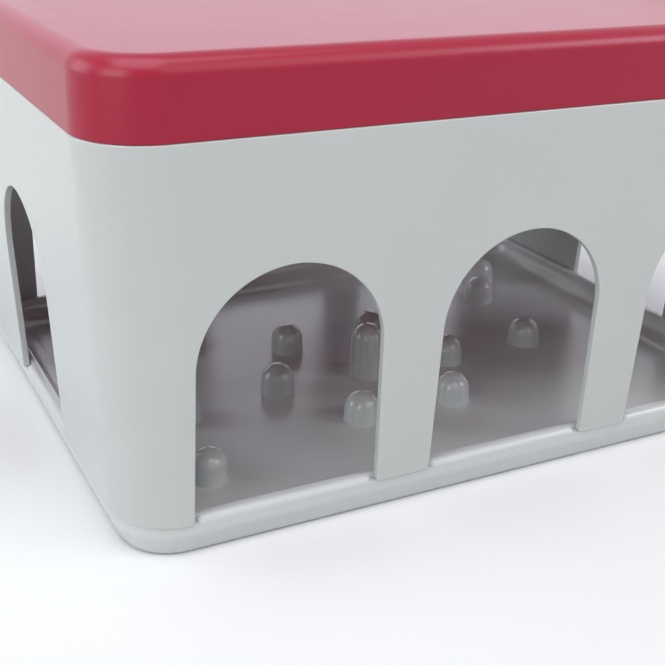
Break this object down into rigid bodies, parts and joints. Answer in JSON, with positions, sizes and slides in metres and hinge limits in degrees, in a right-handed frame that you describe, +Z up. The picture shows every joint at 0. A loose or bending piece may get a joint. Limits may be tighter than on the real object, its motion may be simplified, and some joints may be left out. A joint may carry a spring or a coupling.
{
  "type": "cat activity box",
  "caption": "Snack box for a cat: a studded tray under an arcaded hood that lifts off, closed by a lift-off lid.",
  "frame": {"origin": "middle of the base, on the surface that the feet stand on", "axes": "+X along the long front wall to the right, +Y from the front wall to the back wall, +Z up"},
  "size_m": [0.2532, 0.1932, 0.1378],
  "materials": {
    "tray_plastic": "satin moulded plastic, light grey",
    "foot_rubber": "soft matt rubber, grey",
    "hood_plastic": "satin moulded plastic, light grey",
    "lid_plastic": "satin moulded plastic, raspberry red"
  },
  "bodies": {
    "tray": {"base_tray": "tray_plastic", "rubber_feet": "foot_rubber"},
    "hood": {"hood": "hood_plastic"},
    "lid": {"lid": "lid_plastic"}
  },
  "joints": [
    {"name": "hood_lift", "type": "slide", "parent": "tray", "child": "hood", "axis": [0, 0, 1], "range_m": [0, 0.06]},
    {"name": "lid_lift", "type": "slide", "parent": "hood", "child": "lid", "axis": [0, 0, 1], "range_m": [0, 0.05]}
  ]
}
